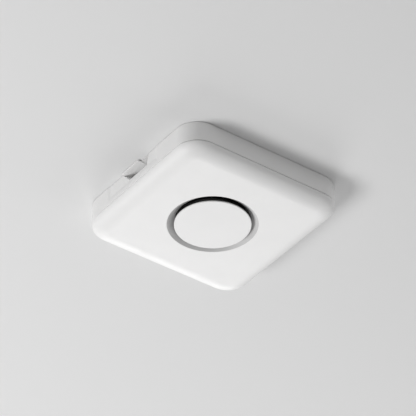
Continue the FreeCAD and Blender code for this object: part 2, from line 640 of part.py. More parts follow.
def reset_switch():
    """Switch body behind the reset button, with room for the plunger's travel."""
    body = box(RESET_X - SWITCH_W / 2, RESET_X + SWITCH_W / 2, SWITCH_Y0, SWITCH_Y0 + SWITCH_D,
               BOARD_TOP, RESET_Z + SWITCH_W / 2)
    return body.cut(rod_y(RESET_X, RESET_Z, SWITCH_Y0 - CUT, RESET_BASE_Y + RESET_TRAVEL + FIT,
                          RESET_R + RESET_FIT))


def reset_button():
    """Reset plunger, its tip inside the bay."""
    plunger = rod_y(RESET_X, RESET_Z, RESET_TIP_Y, RESET_BASE_Y, RESET_R)
    rims = [e for e in plunger.Edges if e.Closed and abs(e.BoundBox.YMax - RESET_TIP_Y) < TINY]
    return plunger.makeFillet(RESET_TIP_SOFT, rims)


def poe_transformer():
    """Power-over-Ethernet transformer beside the sockets."""
    x, y = TRANSFORMER_X, TRANSFORMER_Y
    base_top = BOARD_TOP + TRANSFORMER_BASE_T
    base = block(x, y, TRANSFORMER_BASE_W, TRANSFORMER_BASE_W, BOARD_TOP, base_top)
    return fuse([base, block(x, y, TRANSFORMER_W, TRANSFORMER_W, base_top, TRANSFORMER_TOP)])


def filter_capacitors():
    """Three electrolytic capacitors."""
    top = BOARD_TOP + CAPACITOR_H
    return Part.makeCompound([rod(x, y, BOARD_TOP, top, CAPACITOR_R) for x, y in CAPACITORS])


def antenna(x, y, length, turn):
    """Stamped inverted-F antenna hanging from the lower side of the main board."""
    low = BOARD_LOW - ANTENNA_DROP
    end, half_w = -length / 2, ANTENNA_W / 2
    plate = box(end, -end, -half_w, half_w, low, low + ANTENNA_T)
    ground = box(end, end + ANTENNA_T, -half_w, half_w, low, BOARD_LOW)
    feed = box(end + ANTENNA_FEED_X0, end + ANTENNA_FEED_X1, -half_w, -half_w + ANTENNA_T, low, BOARD_LOW)
    shape = fuse([plate, ground, feed])
    shape.rotate(ORIGIN, UP, turn)
    shape.translate(FreeCAD.Vector(x, y, 0))
    return shape


# ---------------------------------------------------------------- bracket on the ceiling
PLATE_X, PLATE_Y0, PLATE_Y1, PLATE_R = 66.0, -46.0, 78.0, 8.0
TONGUE_X0, TONGUE_X1, TONGUE_Y0, TONGUE_R = -60.0, 20.2, -85.0, 1.5
TONGUE_ROOT = 20.0           # how far the tongue runs into the plate
SCREW_HOLE_R = 2.25
JUNCTION_HOLE_R = 2.3
RIVET_R = 1.5
RIVETS = [(-32.0, -79.0), (-4.0, -79.0)]
LEAF_RIVET_Y = -38.0
RIVET_TOP = -0.05            # rivets and screw ends stay this far under the ceiling plane
CLAMP_X, CLAMP_Y, CLAMP_R = 31.0, 14.0, 1.9
CLAMP_FIT = 0.05

BEAD_R, BEAD_H = 2.5, 0.6    # pressed stiffening beads
BEADS = [(-44.0, -12.0, 68.0), (12.0, 44.0, 68.0), (-38.0, 6.0, -34.0), (22.0, 44.0, -34.0)]

RAIL_CLEAR = 1.2             # room for the rail's flange under the lugs' lips
RAIL_LIP_T = 1.2
RAIL_GRIP = 2.8              # how far the lips reach over the flange
RAIL_LUGS = [(-26.0, -14.0), (46.0, 58.0)]
LUG_X0 = RAIL_X0 - FIT - SHEET
LUG_WINDOW = 5.5

JAW_Y0, JAW_Y1 = 6.0, 22.0
JAW_PLATE_X0, JAW_R = 22.0, 1.2
JAW_STEM_X = RAIL_X1 + SLACK
JAW_TOP = -SHEET - 0.15
JAW_LOW = JAW_TOP - SHEET
JAW_SLOT_R = CLAMP_R + 0.25
CLAMP_HEAD_R, CLAMP_HEAD_T = 3.6, 2.2
CLAMP_DRIVE_LONG, CLAMP_DRIVE_W, CLAMP_DRIVE_DEEP = 6.0, 1.0, 1.0
CLAMP_SEAT = -2 * SHEET - 0.3

SLIDER_TOP = -SHEET - 0.15
SLIDER_T = 1.5
SLIDER_LOW = SLIDER_TOP - SLIDER_T
SLIDER_R = 1.5
SLIDER_X0, SLIDER_Y0, SLIDER_Y1 = -54.0, -86.8, -74.2
SLIDER_SLOT_R = RIVET_R + 0.15
TAB_X0, TAB_X1 = -23.0, 7.0
TAB_Y0 = -102.5
TAB_Y1 = TONGUE_Y0 - RELEASE_TRAVEL - 0.6
TAB_TOP, TAB_LOW = -0.3, -1.8
TAB_CORNER_R = 1.0
NECK_X0 = TAB_X0 + 2.0       # the slider's neck clears the notch's slanted side
NECK_T = 1.6
FINGER_TOP, FINGER_LOW = -4.3, -5.8
FINGER_Y1 = -71.0
FINGER_W = 7.0
FINGER_ROOT = 2.3            # how far the finger's upright runs into the slider
RIVET_FLANGE_R, RIVET_FLANGE_T = 3.0, 1.0
RIVET_SEAT = SLIDER_LOW - 0.2

FIXED_TAB_X0 = TAB_X1 + 1.2  # fixed part of the bracket beside the tab
FIXED_TAB_Y0 = -98.6
FIXED_TAB_R = 0.6

LEAF_T = 0.5
LEAF_ROOT = 5.0              # flat length each side of the leaf's rivet
LEAF_FREE_Z = -4.4
TOOTH_Z = -8.0
RAMP_LOW_Z, RAMP_TOP_Z = -6.2, -3.6  # the leaf's tip rises at 45 degrees for the slider's finger
LEAF_HEAD_R, LEAF_HEAD_T = 2.8, 0.9


def ceiling_hook(x, y):
    """Hook bent down from the bracket, its foot towards +Y."""
    low = HOOK_FOOT_TOP - SHEET
    half_w = HOOK_W / 2
    stem = box(x - half_w, x + half_w, y, y + SHEET, low, -SHEET / 2)
    return fuse([stem, box(x - half_w, x + half_w, y, y + SHEET + HOOK_FOOT, low, HOOK_FOOT_TOP)])


def hook_window(x, y):
    """Hole that the hook's metal was bent out of."""
    half_w = HOOK_W / 2 + SLACK
    return box(x - half_w, x + half_w, y + SHEET, y + SHEET + HOOK_FOOT - HOOK_FOOT_TOP, -SHEET - CUT, CUT)


def rail_lug(y0, y1):
    """Lug bent up from the bracket and over one edge of the ceiling rail's flange."""
    top = RAIL_CLEAR + RAIL_LIP_T
    stem = box(LUG_X0, LUG_X0 + SHEET, y0, y1, -SHEET / 2, top)
    return fuse([stem, box(LUG_X0, RAIL_X0 + RAIL_GRIP, y0, y1, RAIL_CLEAR, top)])


def lug_window(y0, y1):
    """Hole that the lug's metal was bent out of."""
    x0 = LUG_X0 + SHEET
    return box(x0, x0 + LUG_WINDOW, y0 - SLACK, y1 + SLACK, -SHEET - CUT, RAIL_CLEAR - SLACK)


def mounting_bracket():
    """Sheet steel bracket: plate, tongue for the slider, fixed tab, beads, four hooks and two rail lugs."""
    tongue_y1 = PLATE_Y0 + TONGUE_ROOT
    pieces = [prism(-PLATE_X, PLATE_X, PLATE_Y0, PLATE_Y1, PLATE_R, -SHEET, 0),
              prism(TONGUE_X0, TONGUE_X1, TONGUE_Y0, tongue_y1, TONGUE_R, -SHEET, 0),
              prism(FIXED_TAB_X0, TONGUE_X1, FIXED_TAB_Y0, tongue_y1, FIXED_TAB_R, -SHEET, 0)]
    pieces += [rail_lug(y0, y1) for y0, y1 in RAIL_LUGS]
    pieces += [ceiling_hook(x, y) for x, y in HOOKS]
    pieces += [slot_x(x0, x1, y, -SHEET - BEAD_H, -SHEET / 2, BEAD_R) for x0, x1, y in BEADS]
    through = (-SHEET - CUT, CUT)
    tools = [slot_x(x0, x1, y, -BEAD_H, CUT, BEAD_R - BEAD_H) for x0, x1, y in BEADS]
    tools += [rod(sx * SCREW_X, sy * SCREW_Y, *through, SCREW_HOLE_R) for sx in (-1, 1) for sy in (-1, 1)]
    tools += [rod(sx * JUNCTION_X, 0, *through, JUNCTION_HOLE_R) for sx in (-1, 1)]
    tools.append(box(JAW_STEM_X - FIT, JAW_STEM_X + SHEET + JAW_TRAVEL + SLACK,
                     JAW_Y0 - SLACK, JAW_Y1 + SLACK, *through))
    tools += [rod(x, y, *through, RIVET_R) for x, y in RIVETS + [(CATCH_X, LEAF_RIVET_Y)]]
    tools.append(rod(CLAMP_X, CLAMP_Y, *through, CLAMP_R + CLAMP_FIT))
    tools += [hook_window(x, y) for x, y in HOOKS]
    tools += [lug_window(y0, y1) for y0, y1 in RAIL_LUGS]
    return cut(fuse(pieces), tools)


def slider_rivets():
    """Two shoulder rivets that carry the release slider."""
    return screw_group(RIVETS, RIVET_SEAT, RIVET_FLANGE_R, RIVET_FLANGE_T, RIVET_R, RIVET_TOP)


def catch_leaf():
    """Leaf spring riveted to the bracket, with a tooth and a ramp at its free end."""
    root_y, bend_y = LEAF_RIVET_Y + LEAF_ROOT, LEAF_RIVET_Y - LEAF_ROOT
    tip_y = TOOTH_Y0 - (RAMP_TOP_Z - RAMP_LOW_Z)
    y0, y1, t = TOOTH_Y0, TOOTH_Y1, LEAF_T
    upper = [(root_y, -SHEET), (bend_y, -SHEET), (y1, LEAF_FREE_Z), (y1 - t, TOOTH_Z + t),
             (y0 + t, TOOTH_Z + t), (y0 + t, RAMP_LOW_Z + t), (tip_y + t, RAMP_TOP_Z + t)]
    lower = [(tip_y, RAMP_TOP_Z), (y0, RAMP_LOW_Z), (y0, TOOTH_Z), (y1, TOOTH_Z),
             (y1 + t, LEAF_FREE_Z - t), (bend_y, -SHEET - t), (root_y, -SHEET - t)]
    leaf = profile_along_x(upper + lower, CATCH_X - CATCH_W / 2, CATCH_X + CATCH_W / 2)
    return leaf.cut(rod(CATCH_X, LEAF_RIVET_Y, -SHEET - CUT, 0, RIVET_R))


def catch_rivet():
    """Rivet at the root of the leaf spring."""
    place = [(CATCH_X, LEAF_RIVET_Y)]
    return screw_group(place, -SHEET - LEAF_T, LEAF_HEAD_R, LEAF_HEAD_T, RIVET_R, RIVET_TOP)


def lock_slider():
    """Release slider: finger tab in the notch, body under the bracket, finger that lifts the leaf."""
    tab = box(TAB_X0, TAB_X1, TAB_Y0, TAB_Y1, TAB_LOW, TAB_TOP)
    tips = [e for e in tab.Edges if e.BoundBox.ZLength > CUT and e.BoundBox.YMax < TAB_Y0 + CUT]
    tab = tab.makeFillet(TAB_CORNER_R, tips)
    rims = [e for e in tab.Edges if e.BoundBox.ZLength < TINY and e.BoundBox.YMin < TAB_Y0 + 2 * TAB_CORNER_R]
    tab = tab.makeFillet(EDGE_SOFT, rims)
    riser = box(NECK_X0, TAB_X1, TAB_Y1 - NECK_T, TAB_Y1, SLIDER_LOW, TAB_TOP)
    neck = box(NECK_X0, TAB_X1, TAB_Y1 - NECK_T, SLIDER_Y0 + CUT, SLIDER_LOW, SLIDER_TOP)
    body = prism(SLIDER_X0, TAB_X1, SLIDER_Y0, SLIDER_Y1, SLIDER_R, SLIDER_LOW, SLIDER_TOP)
    finger_x0, finger_x1 = CATCH_X - FINGER_W / 2, CATCH_X + FINGER_W / 2
    upright_y0 = SLIDER_Y1 - FINGER_ROOT
    upright = box(finger_x0, finger_x1, upright_y0, SLIDER_Y1, FINGER_LOW, SLIDER_TOP)
    finger = box(finger_x0, finger_x1, upright_y0, FINGER_Y1, FINGER_LOW, FINGER_TOP)
    slots = []
    for x, y in RIVETS:
        slots.append(slot_y(x, y - RELEASE_TRAVEL - FIT, y + FIT, SLIDER_LOW - CUT, SLIDER_TOP + CUT,
                            SLIDER_SLOT_R))
    return cut(fuse([tab, riser, neck, body, upright, finger]), slots)


def rail_jaw():
    """Sliding jaw: plate under the bracket, stem through its slot, lip over the rail's flange."""
    top = RAIL_CLEAR + RAIL_LIP_T
    stem_x1 = JAW_STEM_X + SHEET
    plate = prism(JAW_PLATE_X0, stem_x1, JAW_Y0, JAW_Y1, JAW_R, JAW_LOW, JAW_TOP)
    stem = box(JAW_STEM_X, stem_x1, JAW_Y0, JAW_Y1, JAW_LOW, top)
    lip = box(RAIL_X1 - RAIL_GRIP, stem_x1, JAW_Y0, JAW_Y1, RAIL_CLEAR, top)
    slot = slot_x(CLAMP_X - JAW_TRAVEL - FIT, CLAMP_X + FIT, CLAMP_Y, JAW_LOW - CUT, JAW_TOP + CUT,
                  JAW_SLOT_R)
    return cut(fuse([plate, stem, lip]), [slot])


def clamp_screw():
    """Screw that clamps the jaw against the bracket."""
    shank = rod(CLAMP_X, CLAMP_Y, CLAMP_SEAT, RIVET_TOP, CLAMP_R)
    head_low = CLAMP_SEAT - CLAMP_HEAD_T
    head = rod(CLAMP_X, CLAMP_Y, head_low, CLAMP_SEAT, CLAMP_HEAD_R)
    drive = block(CLAMP_X, CLAMP_Y, CLAMP_DRIVE_LONG, CLAMP_DRIVE_W,
                  head_low - CUT, head_low + CLAMP_DRIVE_DEEP)
    return cut(fuse([shank, head]), [drive])


# ---------------------------------------------------------------- write every node
def all_nodes():
    """Every piece by its node's name."""
    nodes = {
        "mounting_bracket": mounting_bracket(), "slider_rivets": slider_rivets(), "catch_leaf": catch_leaf(),
        "catch_rivet": catch_rivet(), "clamp_screw": clamp_screw(), "rail_jaw": rail_jaw(),
        "lock_slider": lock_slider(), "rear_housing": rear_housing(), "front_cover": front_cover(),
        "seam_gasket": seam_gasket(), "badge_disc": badge_disc(), "light_guide": light_guide(),
        "led_board": led_board(), "status_leds": status_leds(), "led_connector": led_connector(),
        "heat_sink": heat_sink(), "sink_screws": sink_screws(), "main_board": main_board(),
        "board_screws": board_screws(), "circuit_chips": circuit_chips(), "thermal_pads": thermal_pads(),
        "power_jack": power_jack(), "power_pin": power_pin(), "reset_switch": reset_switch(),
        "reset_button": reset_button(), "poe_transformer": poe_transformer(),
        "filter_capacitors": filter_capacitors(), "housing_screws": housing_screws(),
        "security_plate": security_plate(), "rating_label": rating_label(),
    }
    for name, (x, y, width, depth) in CANS.items():
        nodes["shield_can_" + name] = shield_can(x, y, width, depth)
    for name, x in JACK_XS.items():
        nodes["network_jack_" + name] = network_jack(x)
        nodes["jack_contacts_" + name] = jack_contacts(x)
    for name, (x, y, length, turn) in ANTENNAS.items():
        nodes[name] = antenna(x, y, length, turn)
    return nodes


os.makedirs("parts", exist_ok=True)
for node, shape in all_nodes().items():
    shape.exportStep(os.path.join("parts", node + ".step"))
    bounds = shape.BoundBox
    print(f"{node:26s} solids {len(shape.Solids)} valid {shape.isValid()} volume {shape.Volume:10.1f} "
          f"x {bounds.XMin:7.2f} {bounds.XMax:7.2f} y {bounds.YMin:7.2f} {bounds.YMax:7.2f} "
          f"z {bounds.ZMin:7.2f} {bounds.ZMax:7.2f}")
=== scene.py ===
import json
import math

import bmesh
import bpy
from mathutils import Matrix, Vector


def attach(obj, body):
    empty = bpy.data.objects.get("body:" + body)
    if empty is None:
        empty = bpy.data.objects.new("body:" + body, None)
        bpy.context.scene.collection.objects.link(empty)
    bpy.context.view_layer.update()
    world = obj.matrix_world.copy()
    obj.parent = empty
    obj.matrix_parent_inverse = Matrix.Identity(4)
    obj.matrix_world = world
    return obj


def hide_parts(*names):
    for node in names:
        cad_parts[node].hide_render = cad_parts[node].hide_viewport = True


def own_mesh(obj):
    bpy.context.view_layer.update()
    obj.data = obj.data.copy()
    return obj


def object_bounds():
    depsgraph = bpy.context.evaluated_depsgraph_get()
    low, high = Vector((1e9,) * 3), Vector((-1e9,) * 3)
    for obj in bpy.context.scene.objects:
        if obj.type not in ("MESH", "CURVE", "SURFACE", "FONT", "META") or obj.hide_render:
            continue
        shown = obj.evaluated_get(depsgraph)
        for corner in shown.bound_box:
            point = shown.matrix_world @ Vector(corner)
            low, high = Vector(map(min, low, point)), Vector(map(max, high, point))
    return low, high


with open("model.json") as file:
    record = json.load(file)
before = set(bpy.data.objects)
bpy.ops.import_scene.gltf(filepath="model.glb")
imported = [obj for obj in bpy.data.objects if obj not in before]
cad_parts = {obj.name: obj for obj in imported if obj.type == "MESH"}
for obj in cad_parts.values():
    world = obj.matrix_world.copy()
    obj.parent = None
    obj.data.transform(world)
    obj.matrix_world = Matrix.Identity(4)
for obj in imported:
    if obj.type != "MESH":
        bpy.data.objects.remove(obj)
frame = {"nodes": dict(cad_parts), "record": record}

# Looks, leaf spring, stage, camera and lights of the ceiling access point.
# Metres, z up; the bracket touches the ceiling at z = 0 and the unit hangs below it.
CAD_BOUNDS = [list(corner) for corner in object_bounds()]
MM = 0.001
MICRON = 0.000001
NODES = frame["nodes"]
SCENE = bpy.context.scene


# ---------------------------------------------------------------- camera
CAMERA_AZIMUTH = 53.73          # degrees, 0 looks along +Y
CAMERA_ELEVATION = -37.40       # degrees, below the unit and looking up
CAMERA_ROLL = -0.272            # degrees
CAMERA_DISTANCE = 3.544
CAMERA_AIM = Vector((0.0, 0.0, -0.020))
CAMERA_LENS = 287.36            # mm, on a sensor of SENSOR_WIDTH
SENSOR_WIDTH = 36.0
CAMERA_SHIFT = (-0.01128, 0.00979)      # shares of the picture's width
CAMERA_CLIP = (0.1, 150.0)      # the far end lies beyond the floor's corners


def make_camera():
    """Long-lens camera below one corner of the unit."""
    azimuth, elevation, roll = map(math.radians, (CAMERA_AZIMUTH, CAMERA_ELEVATION, CAMERA_ROLL))
    level_share = math.cos(elevation)
    back = Vector((
        math.sin(azimuth) * level_share, -math.cos(azimuth) * level_share, math.sin(elevation)))
    level = Vector((math.cos(azimuth), math.sin(azimuth), 0.0))
    upright = back.cross(level)
    right = math.cos(roll) * level + math.sin(roll) * upright
    up = -math.sin(roll) * level + math.cos(roll) * upright
    data = bpy.data.cameras.new("camera")
    data.lens = CAMERA_LENS
    data.sensor_width = SENSOR_WIDTH
    data.shift_x, data.shift_y = CAMERA_SHIFT
    data.clip_start, data.clip_end = CAMERA_CLIP
    camera = bpy.data.objects.new("camera", data)
    turn = Matrix((right, up, back)).transposed().to_4x4()
    camera.matrix_world = Matrix.Translation(CAMERA_AIM + CAMERA_DISTANCE * back) @ turn
    SCENE.collection.objects.link(camera)
    SCENE.camera = camera


# ---------------------------------------------------------------- shader building
TONE_SPAN = (0.35, 0.65)        # texture values at which a drifting colour is darkest and lightest
GLOSS_SPAN = (0.3, 0.7)         # texture values at which a drifting roughness is lowest and highest


def grey(value, warmth=0.0):
    """Neutral tone, a little warmer or cooler."""
    return (value * (1 + warmth), value, value * (1 - warmth))


class Shader:
    """A Principled material whose colour, roughness and relief come from procedural textures."""

    def __init__(self, name, roughness, metallic=0.0, specular=0.5, coat=0.0, coat_roughness=0.1):
        self.material = bpy.data.materials.new(name)
        self.material.use_nodes = True
        self.tree = self.material.node_tree
        self.surface = self.tree.nodes["Principled BSDF"]
        self.surface.inputs["Roughness"].default_value = roughness
        self.surface.inputs["Metallic"].default_value = metallic
        self.surface.inputs["Specular IOR Level"].default_value = specular
        self.surface.inputs["Coat Weight"].default_value = coat
        self.surface.inputs["Coat Roughness"].default_value = coat_roughness
        self.place = self.tree.nodes.new("ShaderNodeTexCoord").outputs["Object"]
        self.last_relief = None

    def stretched(self, scale):
        """Object coordinates scaled per axis, for grain that runs one way."""
        mapping = self.tree.nodes.new("ShaderNodeMapping")
        mapping.inputs["Scale"].default_value = scale
        self.tree.links.new(self.place, mapping.inputs["Vector"])
        return mapping.outputs["Vector"]

    def noise(self, size, detail=3.0, place=None):
        """Cloudy texture whose features are about size metres across."""
        node = self.tree.nodes.new("ShaderNodeTexNoise")
        node.inputs["Scale"].default_value = 1.0 / size
        node.inputs["Detail"].default_value = detail
        self.tree.links.new(place or self.place, node.inputs["Vector"])
        return node.outputs["Fac"]

    def cells(self, size):
        """Rounded cells about size metres across."""
        node = self.tree.nodes.new("ShaderNodeTexVoronoi")
        node.inputs["Scale"].default_value = 1.0 / size
        self.tree.links.new(self.place, node.inputs["Vector"])
        return node.outputs["Distance"]

    def colour(self, texture, dark, light):
        """Base colour that drifts between two colours with a texture."""
        node = self.tree.nodes.new("ShaderNodeValToRGB")
        for stop, position, colour in zip(node.color_ramp.elements, TONE_SPAN, (dark, light)):
            stop.position = position
            stop.color = (*colour, 1.0)
        self.tree.links.new(texture, node.inputs["Fac"])
        self.tree.links.new(node.outputs["Color"], self.surface.inputs["Base Color"])

    def tone(self, value, size, darkest, lightest=1.0, warmth=0.0):
        """Grey that drifts between two shares of its value, in clouds about size metres across."""
        self.colour(self.noise(size), grey(value * darkest, warmth), grey(value * lightest, warmth))

    def shade_inside(self, radius, factor):
        """Darkens the base colour by a factor inside an upright cylinder round the origin."""
        flat = self.stretched((1.0, 1.0, 0.0))
        reach = self.tree.nodes.new("ShaderNodeVectorMath")
        reach.operation = "LENGTH"
        self.tree.links.new(flat, reach.inputs[0])
        inside = self.tree.nodes.new("ShaderNodeMath")
        inside.operation = "LESS_THAN"
        inside.inputs[1].default_value = radius
        self.tree.links.new(reach.outputs["Value"], inside.inputs[0])
        mix = self.tree.nodes.new("ShaderNodeMix")
        mix.data_type = "RGBA"
        mix.blend_type = "MULTIPLY"
        base = self.surface.inputs["Base Color"]
        colours = [socket for socket in mix.inputs if socket.type == "RGBA"]
        result = [socket for socket in mix.outputs if socket.type == "RGBA"][0]
        colours[1].default_value = (*grey(factor), 1.0)
        self.tree.links.new(inside.outputs["Value"], mix.inputs[0])
        self.tree.links.new(base.links[0].from_socket, colours[0])
        self.tree.links.new(result, base)

    def roughness(self, texture, low, high):
        """Roughness that drifts between two values with a texture."""
        node = self.tree.nodes.new("ShaderNodeMapRange")
        node.inputs["From Min"].default_value, node.inputs["From Max"].default_value = GLOSS_SPAN
        node.inputs["To Min"].default_value = low
        node.inputs["To Max"].default_value = high
        self.tree.links.new(texture, node.inputs["Value"])
        self.tree.links.new(node.outputs["Result"], self.surface.inputs["Roughness"])

    def relief(self, texture, depth):
        """Bump of the given depth in metres, added to any relief already there."""
        node = self.tree.nodes.new("ShaderNodeBump")
        node.inputs["Distance"].default_value = depth
        node.inputs["Strength"].default_value = 1.0
        self.tree.links.new(texture, node.inputs["Height"])
        if self.last_relief:
            self.tree.links.new(self.last_relief, node.inputs["Normal"])
        self.last_relief = node.outputs["Normal"]
        self.tree.links.new(self.last_relief, self.surface.inputs["Normal"])


# ---------------------------------------------------------------- materials
DISH_RADIUS = 49.0 * MM         # just inside the edge of the cover's dish
DISH_SHADE_TONE = 0.57                # painted shade: the recessed dish is coloured darker than the face

LINES_ALONG_X = (1.0, 14.0, 1.0)    # stretches of the texture that draw it out into fine lines
LINES_ALONG_Y = (14.0, 1.0, 1.0)

GOLD_DARK = (0.80, 0.52, 0.18)
GOLD_LIGHT = (0.92, 0.68, 0.30)

TRACE_SCALE = 160.0             # of the brick pattern: planes of 3.1 by 1.6 mm
TRACE_WIDTH = 0.06              # in units of the brick pattern
BOARD_COLOURS = {
    "Color1": (0.012, 0.085, 0.045, 1.0),
    "Color2": (0.016, 0.11, 0.055, 1.0),
    "Mortar": (0.03, 0.19, 0.09, 1.0),
}


def moulded_plastic(name, tone, roughness, warmth=0.004, grain=0.28 * MM, depth=12 * MICRON, dish_shade_tone=None):
    """Moulded plastic: fine spark-eroded grain, a faint drift in tone and slightly uneven gloss; a dish tone
    darkens the recessed dish with painted shade.
    """
    gloss_drift = 0.05
    wave_depth = 1.5 * depth
    skin = Shader(name, roughness)
    skin.tone(tone, size=35 * MM, darkest=0.985, warmth=warmth)
    # painted shade: the recessed dish gets a darker base colour than the face
    if dish_shade_tone:
        skin.shade_inside(DISH_RADIUS, dish_shade_tone / tone)
    skin.roughness(skin.noise(size=9 * MM), roughness - gloss_drift, roughness + gloss_drift)
    skin.relief(skin.noise(size=grain, detail=2.0), depth)
    skin.relief(skin.noise(size=12 * MM, detail=2.0), wave_depth)
    return skin.material


def glossy_plastic(name, tone, roughness, coat=0.0):
    """Polished dark plastic with faint moulding waves and patches of slightly duller gloss."""
    gloss_drift = 0.06
    skin = Shader(name, roughness, coat=coat)
    skin.tone(tone, size=6 * MM, darkest=0.8, lightest=1.2)
    skin.roughness(skin.noise(size=2.5 * MM), roughness, roughness + gloss_drift)
    skin.relief(skin.noise(size=8 * MM, detail=1.0), depth=10 * MICRON)
    return skin.material


def powder_coat(name, tone):
    """Powder-coated sheet steel: orange-peel relief and soft gloss."""
    skin = Shader(name, roughness=0.42)
    skin.tone(tone, size=20 * MM, darkest=0.97, warmth=0.006)
    skin.roughness(skin.noise(size=4 * MM), low=0.36, high=0.5)
    skin.relief(skin.noise(size=1.1 * MM, detail=2.0), depth=30 * MICRON)
    return skin.material


def plated_steel(name, tone, roughness, lines_along=LINES_ALONG_X, size=4 * MM, warmth=0.0):
    """Rolled or brushed steel with fine lines along one axis and cloudy plating."""
    skin = Shader(name, roughness, metallic=1.0)
    lines = skin.noise(size, detail=4.0, place=skin.stretched(lines_along))
    skin.tone(tone, size=6 * MM, darkest=0.85, warmth=warmth)
    skin.roughness(lines, low=roughness - 0.08, high=roughness + 0.12)
    skin.relief(lines, depth=12 * MICRON)
    return skin.material


def cast_metal(name, tone):
    """Die-cast aluminium: granular skin and cloudy tone."""
    skin = Shader(name, roughness=0.5, metallic=1.0)
    skin.tone(tone, size=12 * MM, darkest=0.82)
    skin.roughness(skin.noise(size=3 * MM), low=0.42, high=0.62)
    skin.relief(skin.cells(size=0.7 * MM), depth=30 * MICRON)
    return skin.material


def gold_wire(name):
    """Gold-plated contact wire."""
    skin = Shader(name, roughness=0.22, metallic=1.0)
    skin.colour(skin.noise(size=1 * MM), GOLD_DARK, GOLD_LIGHT)
    skin.roughness(skin.noise(size=0.6 * MM), low=0.16, high=0.3)
    skin.relief(skin.noise(size=0.4 * MM), depth=4 * MICRON)
    return skin.material


def circuit_board(name):
    """Solder mask over copper: dark planes parted by a grid of paler traces."""
    skin = Shader(name, roughness=0.38, coat=0.3, coat_roughness=0.2)
    traces = skin.tree.nodes.new("ShaderNodeTexBrick")
    traces.inputs["Scale"].default_value = TRACE_SCALE
    traces.inputs["Mortar Size"].default_value = TRACE_WIDTH
    for socket, colour in BOARD_COLOURS.items():
        traces.inputs[socket].default_value = colour
    skin.tree.links.new(skin.place, traces.inputs["Vector"])
    skin.tree.links.new(traces.outputs["Color"], skin.surface.inputs["Base Color"])
    skin.roughness(skin.noise(size=4 * MM), low=0.3, high=0.45)
    skin.relief(traces.outputs["Fac"], depth=30 * MICRON)
    return skin.material


def soft_pad(name, tone, warmth=0.0):
    """Soft rubbery part: matt, pitted and a little dusty."""
    skin = Shader(name, roughness=0.85, specular=0.3)
    skin.tone(tone, size=4 * MM, darkest=0.85, warmth=warmth)
    skin.roughness(skin.noise(size=2 * MM), low=0.78, high=0.92)
    skin.relief(skin.cells(size=0.5 * MM), depth=20 * MICRON)
    return skin.material


def blank_label(name):
    """Silvery film label with a faint satin grain and no text."""
    skin = Shader(name, roughness=0.4, metallic=0.3)
    skin.colour(skin.noise(size=10 * MM), dark=grey(0.62), light=grey(0.68))
    skin.roughness(skin.noise(size=2 * MM), low=0.34, high=0.46)
    skin.relief(skin.noise(size=0.6 * MM), depth=8 * MICRON)
    return skin.material


# One material per slot of the record, and one for the cover, whose recessed dish is darkened with painted
# shade.
FINISHES = {
    "shell_white": (moulded_plastic, dict(tone=0.80, roughness=0.50)),
    "cover_white_dish_shade": (moulded_plastic, dict(tone=0.80, roughness=0.50, dish_shade_tone=DISH_SHADE_TONE)),
    "badge_white": (moulded_plastic, dict(tone=0.77, roughness=0.42, grain=0.4 * MM, depth=6 * MICRON)),
    "light_black": (glossy_plastic, dict(tone=0.006, roughness=0.12, coat=0.6)),
    "gasket_grey": (soft_pad, dict(tone=0.16)),
    "bracket_white": (powder_coat, dict(tone=0.70)),
    "spring_steel": (plated_steel, dict(tone=0.58, roughness=0.3, lines_along=LINES_ALONG_Y)),
    "zinc_screw": (plated_steel, dict(tone=0.72, roughness=0.28, size=1.5 * MM, warmth=0.02)),
    "tab_white": (moulded_plastic, dict(tone=0.78, roughness=0.45)),
    "cast_aluminium": (cast_metal, dict(tone=0.62)),
    "board_green": (circuit_board, dict()),
    "tin_plate": (plated_steel, dict(tone=0.74, roughness=0.32)),
    "chip_black": (moulded_plastic, dict(tone=0.02, roughness=0.6, grain=0.2 * MM)),
    "pad_grey": (soft_pad, dict(tone=0.2, warmth=-0.08)),
    "jack_shield": (plated_steel, dict(tone=0.76, roughness=0.26, size=3 * MM)),
    "jack_gold": (gold_wire, dict()),
    "jack_black": (moulded_plastic, dict(tone=0.018, roughness=0.5)),
    "button_black": (moulded_plastic, dict(tone=0.022, roughness=0.4)),
    "capacitor_sleeve": (glossy_plastic, dict(tone=0.02, roughness=0.25)),
    "led_white": (moulded_plastic, dict(tone=0.75, roughness=0.25, warmth=0.05, grain=0.2 * MM)),
    "label_silver": (blank_label, dict()),
}


def finish_nodes(materials):
    """Gives every CAD node the material of its slot."""
    for part in frame["record"]["subparts"]:
        mesh = NODES[part["node"]].data
        slot = "cover_white_dish_shade" if part["node"] == "front_cover" else part["material_slot"]
        mesh.materials.clear()
        mesh.materials.append(materials[slot])


# ---------------------------------------------------------------- leaf spring
LEAF_X = -50.0 * MM
LEAF_WIDTH = 8.0 * MM
LEAF_GAUGE = 0.5 * MM
LEAF_PATH = (                   # y and z in mm along the lower face of the leaf spring
    (-33.0, -2.0), (-42.0, -2.0), (-44.0, -2.1), (-63.5, -4.9), (-63.9, -5.1), (-64.0, -5.4),
    (-64.0, -7.6), (-64.2, -7.9), (-64.5, -8.0), (-67.5, -8.0), (-67.8, -7.9), (-68.0, -7.6),
    (-68.0, -6.2), (-70.6, -3.6))


def leaf_section(shape, before, point, after):
    """Four corners of the leaf's cross-section at a point of its path, square to the path there."""
    run = (after - before).normalized()
    upward = Vector((run.y, -run.x))
    corners = []
    for side, lift in ((-1, 0), (1, 0), (1, LEAF_GAUGE), (-1, LEAF_GAUGE)):
        spot = point + lift * upward
        corners.append(shape.verts.new((LEAF_X + side * LEAF_WIDTH / 2, spot.x, spot.y)))
    return corners


